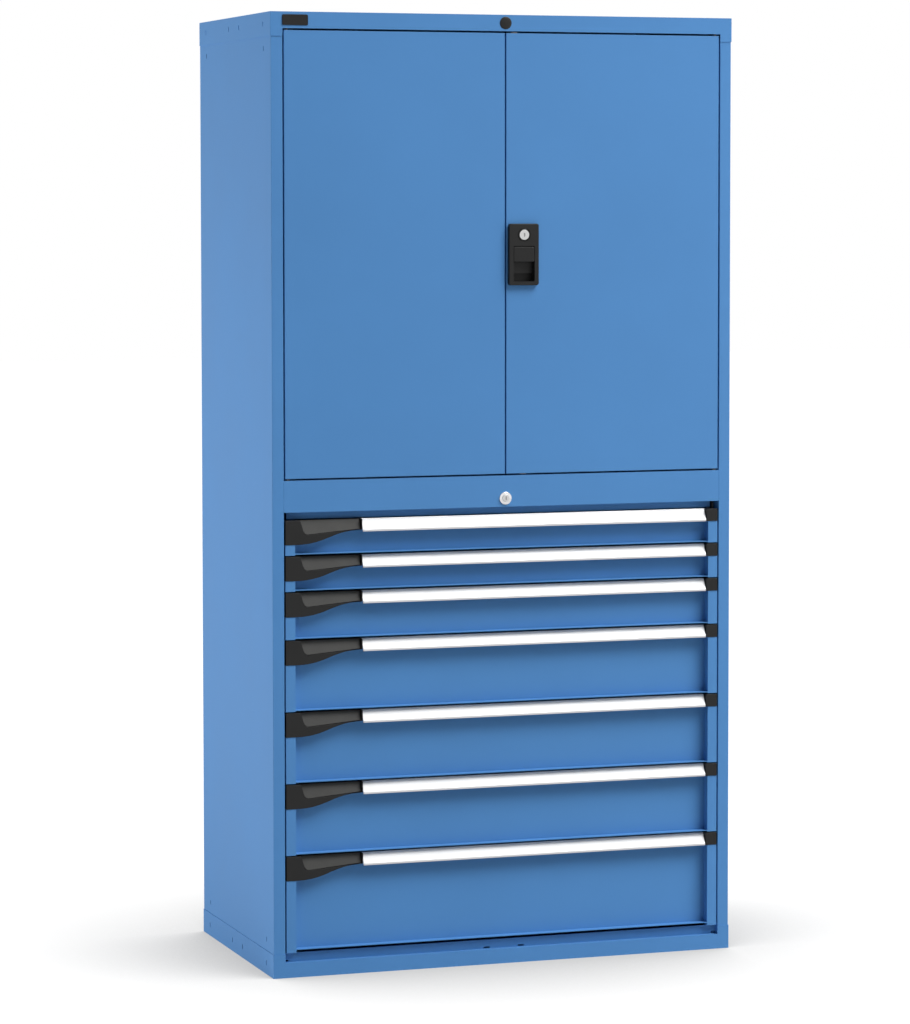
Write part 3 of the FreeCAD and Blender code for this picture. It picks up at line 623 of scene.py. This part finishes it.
def thumb_outline(inset, top):
    points = [(grip_left + scoop_left + inset, top),
              (grip_left + scoop_foot + inset, crest_z - scoop_height + inset),
              (grip_right - scoop_end_gap - inset, crest_z - scoop_right_height + inset),
              (grip_right - scoop_end_gap - inset, top)]
    return eased(points, [0, scoop_corner, scoop_far_corner, 0])


def bezier(poles, steps):
    # Points of one cubic curve
    points = []
    for step in range(steps + 1):
        t = step / steps
        line = [Vector(pole) for pole in poles]
        while len(line) > 1:
            line = [a.lerp(b, t) for a, b in zip(line, line[1:])]
        points.append(line[0])
    return points


def grip_outline():
    low = moulding_low.z
    inner_low = crest_z - grip_inner_height
    start = grip_left + grip_width * grip_curve_start_share
    pull = grip_width * grip_curve_pull_share
    foot = bezier([(start, low), (start + pull, low), (grip_right - pull, inner_low),
                   (grip_right, inner_low)], grip_curve_steps)
    return foot + [(grip_right, crest_z), (grip_left, crest_z), (grip_left, low)]


def make_mouldings():
    outline = grip_outline()
    grip = lofted("mouldings", [at_depth(outline, front_y), at_depth(outline, recess_y)], plastic)
    pocket = thumb_outline(0, crest_z + overrun)
    behind = catch_thickness + catch_pocket
    cut_out(grip, [at_depth(pocket, front_y - overrun),
                   [(x, lean_y(z, behind), z) for x, z in pocket]])
    soften(grip, grip_edge)
    level_faces(grip)
    left = strip_right + grip_gap
    right = moulding_high.x
    low = crest_z - end_cap_height
    rings = rounded_plate(left, right, low, crest_z, end_cap_corner, end_cap_edge, front_y, recess_y)
    hollow = rounded_outline(left + end_cap_wall, right - end_cap_wall, low + end_cap_wall,
                             crest_z - end_cap_wall, end_cap_corner)
    rings = rings + [at_depth(hollow, recess_y), at_depth(hollow, front_y + end_cap_wall)]
    cap = level_faces(sharp_faces(lofted("end_cap", rings, plastic)))
    return merged([grip, cap])


def merged(pieces):
    builder = bmesh.new()
    for piece in pieces:
        builder.from_mesh(piece.data)
    mesh = bpy.data.meshes.new(pieces[0].name)
    builder.to_mesh(mesh)
    builder.free()
    mesh.materials.append(pieces[0].data.materials[0])
    pieces[0].data = mesh
    for piece in pieces[1:]:
        bpy.data.objects.remove(piece)
    return pieces[0]


def make_catch():
    outline = thumb_outline(catch_side_gap, crest_z - catch_edge)
    rings = [[(x, lean_y(z, behind), z) for x, z in outline] for behind in (0, catch_thickness)]
    return level_faces(soften(lofted("catch", rings, catch_plastic), catch_edge))


on_each_drawer("strip", make_strip(), "strip_aluminium", "handle_strip")
on_each_drawer("label", make_label(), "strip_aluminium")
on_each_drawer("mouldings", make_mouldings(), "black_plastic", "end_mouldings")
on_each_drawer("thumb_catch", make_catch(), "catch_plastic", "catch")


# Door handle

housing_low, housing_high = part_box("handle_housing")
key_low, key_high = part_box("handle_lock_plug")
paddle_low, paddle_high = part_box("handle_paddle")
rocker_low, rocker_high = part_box("rod_cam")
door_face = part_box("right_door")[0].y
plate_front = housing_low.y + bezel_proud
handle_x = (housing_low.x + housing_high.x) / 2
key_z = housing_low.z + cup_bottom + cup_height + key_cup_gap + bezel_radius
cup_left = handle_x - cup_half_width
cup_right = handle_x + cup_half_width
cup_low = housing_low.z + cup_bottom
cup_high = cup_low + cup_height
rocker_z = (rocker_low.z + rocker_high.z) / 2
arm_left = rocker_low.x
arm_right = arm_left + paddle_arm_width
pivot_y = plate_front + paddle_pivot_setback
pivot_z = paddle_high.z - paddle_head


def square(x0, x1, z0, z1):
    return [(x0, z0), (x1, z0), (x1, z1), (x0, z1)]


def pivot_pin(radius, extra):
    # Rings of a pin along X through the paddle's pivot
    ring = circle(pivot_y, pivot_z, radius)
    return [[(x, y, z) for y, z in ring] for x in (paddle_low.x - extra, paddle_high.x + extra)]


def make_housing():
    rings = rounded_plate(housing_low.x, housing_high.x, housing_low.z, housing_high.z,
                          plate_corner, plate_edge, plate_front, door_face)
    housing = lofted("handle_plate", rings, plastic)
    inner = rounded_outline(housing_low.x + body_inset, housing_high.x - body_inset,
                            housing_low.z + body_inset, housing_high.z - body_inset, cup_corner)
    add_on(housing, [at_depth(inner, door_face - overrun), at_depth(inner, housing_high.y)])
    cut_out(housing, turned(handle_x, key_z, [(bezel_radius + bezel_groove, plate_front - overrun),
                                              (bezel_radius + bezel_groove, plate_front + bezel_groove)]))
    add_on(housing, turned(handle_x, key_z, [(bezel_radius - bezel_proud, housing_low.y),
                                             (bezel_radius, plate_front),
                                             (bezel_radius, plate_front + bezel_depth)]))
    cup = rounded_outline(cup_left, cup_right, cup_low, cup_high, cup_corner)
    cut_out(housing, [at_depth(cup, plate_front - overrun), at_depth(cup, plate_front + cup_depth)])
    pocket = rounded_outline(cup_left, cup_right, cup_low, cup_low + pocket_height, cup_corner)
    cut_out(housing, [at_depth(pocket, plate_front - overrun),
                      at_depth(pocket, plate_front + pocket_depth)])
    cut_out(housing, turned(handle_x, key_z, [(key_radius + key_gap, housing_low.y - overrun),
                                              (key_radius + key_gap, housing_high.y + overrun)]))
    ring = key_radius + key_ring_gap
    cut_out(housing, turned(handle_x, key_z, [(ring, housing_low.y - overrun),
                                              (ring, plate_front + key_ring_depth)]))
    behind_cup = (plate_front + cup_depth - overrun, housing_high.y + overrun)
    cut_out(housing, turned(handle_x, rocker_z, [(axle_radius + bore_gap, y) for y in behind_cup]))
    window = square(arm_left - arm_window_side, arm_right + arm_window_side,
                    rocker_z - arm_window_height / 2, rocker_z + arm_window_height / 2)
    cut_out(housing, [at_depth(window, y) for y in behind_cup])
    cut_out(housing, pivot_pin(paddle_pin_radius + bore_gap, running_gap))
    return level_faces(soften(housing, handle_edge))


def make_paddle():
    half = cup_half_width - paddle_side_gap
    low = paddle_low.z
    inner = plate_front + paddle_thickness
    rings = rounded_plate(handle_x - half, handle_x + half, low, paddle_high.z, paddle_corner,
                          paddle_edge, plate_front, inner)
    paddle = lofted("paddle_plate", rings, plastic)
    lip = rounded_outline(handle_x - half + paddle_edge, handle_x + half - paddle_edge, low,
                          low + paddle_lip_height, paddle_lip_corner)
    add_on(paddle, [at_depth(lip, inner - paddle_edge), at_depth(lip, inner + paddle_lip_depth)])
    arm_low = rocker_z + lever_height / 2 + running_gap
    arm = square(arm_left, arm_right, arm_low, arm_low + paddle_arm_thickness)
    add_on(paddle, [at_depth(arm, inner - paddle_edge), at_depth(arm, paddle_high.y)])
    add_on(paddle, pivot_pin(paddle_pin_radius, 0))
    return level_faces(soften(paddle, face_edge))


def slotted(piece, x, z, front):
    slot = rounded_outline(x - keyway_width / 2, x + keyway_width / 2, z - keyway_height / 2,
                           z + keyway_height / 2, keyway_corner)
    return cut_out(piece, [at_depth(slot, front - overrun), at_depth(slot, front + keyway_depth)])


def make_key_face():
    front = key_low.y
    back = key_high.y - key_tail_thickness
    rings = turned(handle_x, key_z, [(key_radius - face_edge, front), (key_radius, front + face_edge),
                                     (key_radius, back)])
    plug = lofted("key_face", rings, key_metal)
    tail = square(handle_x - key_tail_width / 2, handle_x + key_tail_width / 2,
                  key_z - key_radius, key_z + key_tail_width / 2)
    add_on(plug, [at_depth(tail, back - face_edge), at_depth(tail, key_high.y)])
    return level_faces(sharp_faces(slotted(plug, handle_x, key_z, front)))


stand_for(make_housing(), "right_door", "black_plastic", "handle_housing")
stand_for(make_paddle(), "paddle", "black_plastic", "handle_paddle")
stand_for(make_key_face(), "door_key", "lock_chrome", "handle_lock_plug")


# Drawer lock

lock_low, lock_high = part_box("drawer_lock_body")
lock_plug_low, lock_plug_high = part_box("drawer_lock_plug")
ring_radius = (lock_high.x - lock_low.x) / 2
lock_x = (lock_low.x + lock_high.x) / 2
lock_z = (lock_low.z + lock_high.z) / 2
rail_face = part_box("middle_floor")[0].y


def make_lock_ring():
    front = lock_low.y
    bore = lock_plug_radius + key_gap
    profile = [(bore, lock_high.y), (bore, front + ring_dish), (bore + ring_dish, front + ring_dish),
               (ring_radius - ring_dish - face_edge, front), (ring_radius - ring_dish, front),
               (ring_radius - face_edge, front + face_edge), (ring_radius, front + ring_dish),
               (ring_radius, rail_face), (lock_barrel_radius, rail_face),
               (lock_barrel_radius, lock_high.y)]
    builder = bmesh.new()
    loops = add_loops(builder, turned(lock_x, lock_z, profile))
    for near, far in zip(loops, loops[1:] + loops[:1]):
        join_loops(builder, near, far)
    return sharp_faces(to_object("lock_ring", builder, chrome))


def make_lock_face():
    front = lock_plug_low.y
    cam_front = lock_high.y + running_gap
    cam_back = cam_front + lock_cam_sheet
    cam_radius = (lock_plug_high.x - lock_plug_low.x) / 2
    rings = turned(lock_x, lock_z, [(lock_plug_radius - face_edge, front),
                                    (lock_plug_radius, front + face_edge),
                                    (lock_plug_radius, cam_front), (cam_radius, cam_front),
                                    (cam_radius, cam_back)])
    face = lofted("lock_face", rings, key_metal)
    add_on(face, turned(lock_x, lock_z + lock_pin_throw, [(lock_pin_radius, cam_back - face_edge),
                                                          (lock_pin_radius, lock_plug_high.y)]))
    return level_faces(sharp_faces(slotted(face, lock_x, lock_z, front)))


stand_for(make_lock_ring(), "housing", "lock_chrome", "drawer_lock_body")
stand_for(make_lock_face(), "drawer_key", "lock_chrome", "drawer_lock_plug")


# Plates on the cap

def make_cap_plug():
    low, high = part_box("cap_plug")
    x = (low.x + high.x) / 2
    z = (low.z + high.z) / 2
    radius = (high.x - low.x) / 2
    flush = low.y + plug_dome + face_edge
    profile = []
    for step in range(corner_steps + 1):
        angle = math.pi / 2 * step / corner_steps
        profile.append((max(face_edge, radius * math.sin(angle)),
                        low.y + plug_dome * (1 - math.cos(angle))))
    stem = radius * plug_stem_share
    profile = profile + [(radius, flush), (stem, flush), (stem, high.y)]
    return sharp_faces(lofted("cap_plug_dome", turned(x, z, profile), plastic))


def make_badge():
    low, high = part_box("badge_plate")
    rings = rounded_plate(low.x, high.x, low.z, high.z, badge_corner, badge_edge, low.y, high.y)
    badge = lofted("blank_badge", rings, plastic)
    field = rounded_outline(low.x + badge_border, high.x - badge_border, low.z + badge_border,
                            high.z - badge_border, badge_corner - badge_border / 2)
    cut_out(badge, [at_depth(field, low.y - overrun), at_depth(field, low.y + badge_inset_depth)])
    return level_faces(sharp_faces(badge))


stand_for(make_cap_plug(), "housing", "black_plastic", "cap_plug")
stand_for(make_badge(), "housing", "black_plastic", "badge_plate")


# Room and light

def add_light(name, place, power, size):
    lamp = bpy.data.lights.new(name, "AREA")
    lamp.energy = power
    lamp.size = size
    lamp_object = bpy.data.objects.new(name, lamp)
    lamp_object.location = place
    aim = Vector((0, 0, aim_height)) - Vector(place)
    lamp_object.rotation_euler = aim.to_track_quat("-Z", "Y").to_euler()
    lamp_object.visible_camera = False
    bpy.context.collection.objects.link(lamp_object)


def math_node(nodes, links, operation, first, second):
    node = nodes.new("ShaderNodeMath")
    node.operation = operation
    links.new(first, node.inputs[0])
    if isinstance(second, float):
        node.inputs[1].default_value = second
    else:
        links.new(second, node.inputs[1])
    return node.outputs["Value"]


def seen_directly(nodes, links):
    path = nodes.new("ShaderNodeLightPath").outputs
    either = math_node(nodes, links, "MAXIMUM", path["Is Camera Ray"], path["Is Glossy Ray"])
    return math_node(nodes, links, "MAXIMUM", either, path["Is Transmission Ray"])


def make_world():
    world = bpy.data.worlds.new("studio")
    bpy.context.scene.world = world
    world.use_nodes = True
    nodes, links = world.node_tree.nodes, world.node_tree.links
    background = nodes["Background"]
    background.inputs["Color"].default_value = (1, 1, 1, 1)
    links.new(spread(nodes, links, seen_directly(nodes, links), world_level, white_level),
              background.inputs["Strength"])


def floor_glow_and_painted_shadow(nodes, links, seen):
    # White glow away from the cabinet; close by, the glow is darkened by ambient occlusion, which paints
    # a soft contact shadow on the floor
    painted_shadow_ao = nodes.new("ShaderNodeAmbientOcclusion")
    painted_shadow_ao.samples = shade_samples
    painted_shadow_ao.inputs["Distance"].default_value = shade_distance
    lifted = math_node(nodes, links, "MULTIPLY", painted_shadow_ao.outputs["AO"], floor_lift)
    return math_node(nodes, links, "MULTIPLY", lifted, seen)


def make_floor():
    mesh = bpy.data.meshes.new("floor")
    corners = [(floor_half * right, floor_half * back, 0)
               for right, back in ((-1, -1), (1, -1), (1, 1), (-1, 1))]
    mesh.from_pydata(corners, [], [(0, 1, 2, 3)])
    floor = bpy.data.objects.new("floor", mesh)
    bpy.context.collection.objects.link(floor)
    material, nodes, links, shader = new_material("pale_floor")
    seen = seen_directly(nodes, links)
    links.new(spread(nodes, links, seen, floor_bounce, floor_albedo), shader.inputs["Base Color"])
    shader.inputs["Roughness"].default_value = 1.0
    shader.inputs["Specular IOR Level"].default_value = 0.0
    shader.inputs["Emission Color"].default_value = (1, 1, 1, 1)
    links.new(floor_glow_and_painted_shadow(nodes, links, seen), shader.inputs["Emission Strength"])
    mesh.materials.append(material)


def make_camera():
    data = bpy.data.cameras.new("camera")
    camera = bpy.data.objects.new("camera", data)
    bpy.context.collection.objects.link(camera)
    long_side = max(frame_width_px, frame_height_px)
    data.sensor_width = sensor_mm
    data.lens = focal_px * sensor_mm / long_side
    data.shift_x = (frame_width_px / 2 - axis_px[0]) / long_side
    data.shift_y = (axis_px[1] - frame_height_px / 2) / long_side
    data.clip_end = camera_reach
    camera.location = camera_place
    flat = math.cos(camera_pitch)
    forward = Vector((math.sin(camera_yaw) * flat, math.cos(camera_yaw) * flat, math.sin(camera_pitch)))
    camera.rotation_euler = forward.to_track_quat("-Z", "Y").to_euler()
    camera.rotation_euler.rotate_axis("Z", camera_roll)
    bpy.context.scene.camera = camera


make_camera()
make_world()
add_light("key", key_place, key_power, key_size)
add_light("side", side_place, side_power, side_size)
add_light("right", right_place, right_power, right_size)
make_floor()
bpy.context.scene.view_settings.view_transform = "Standard"
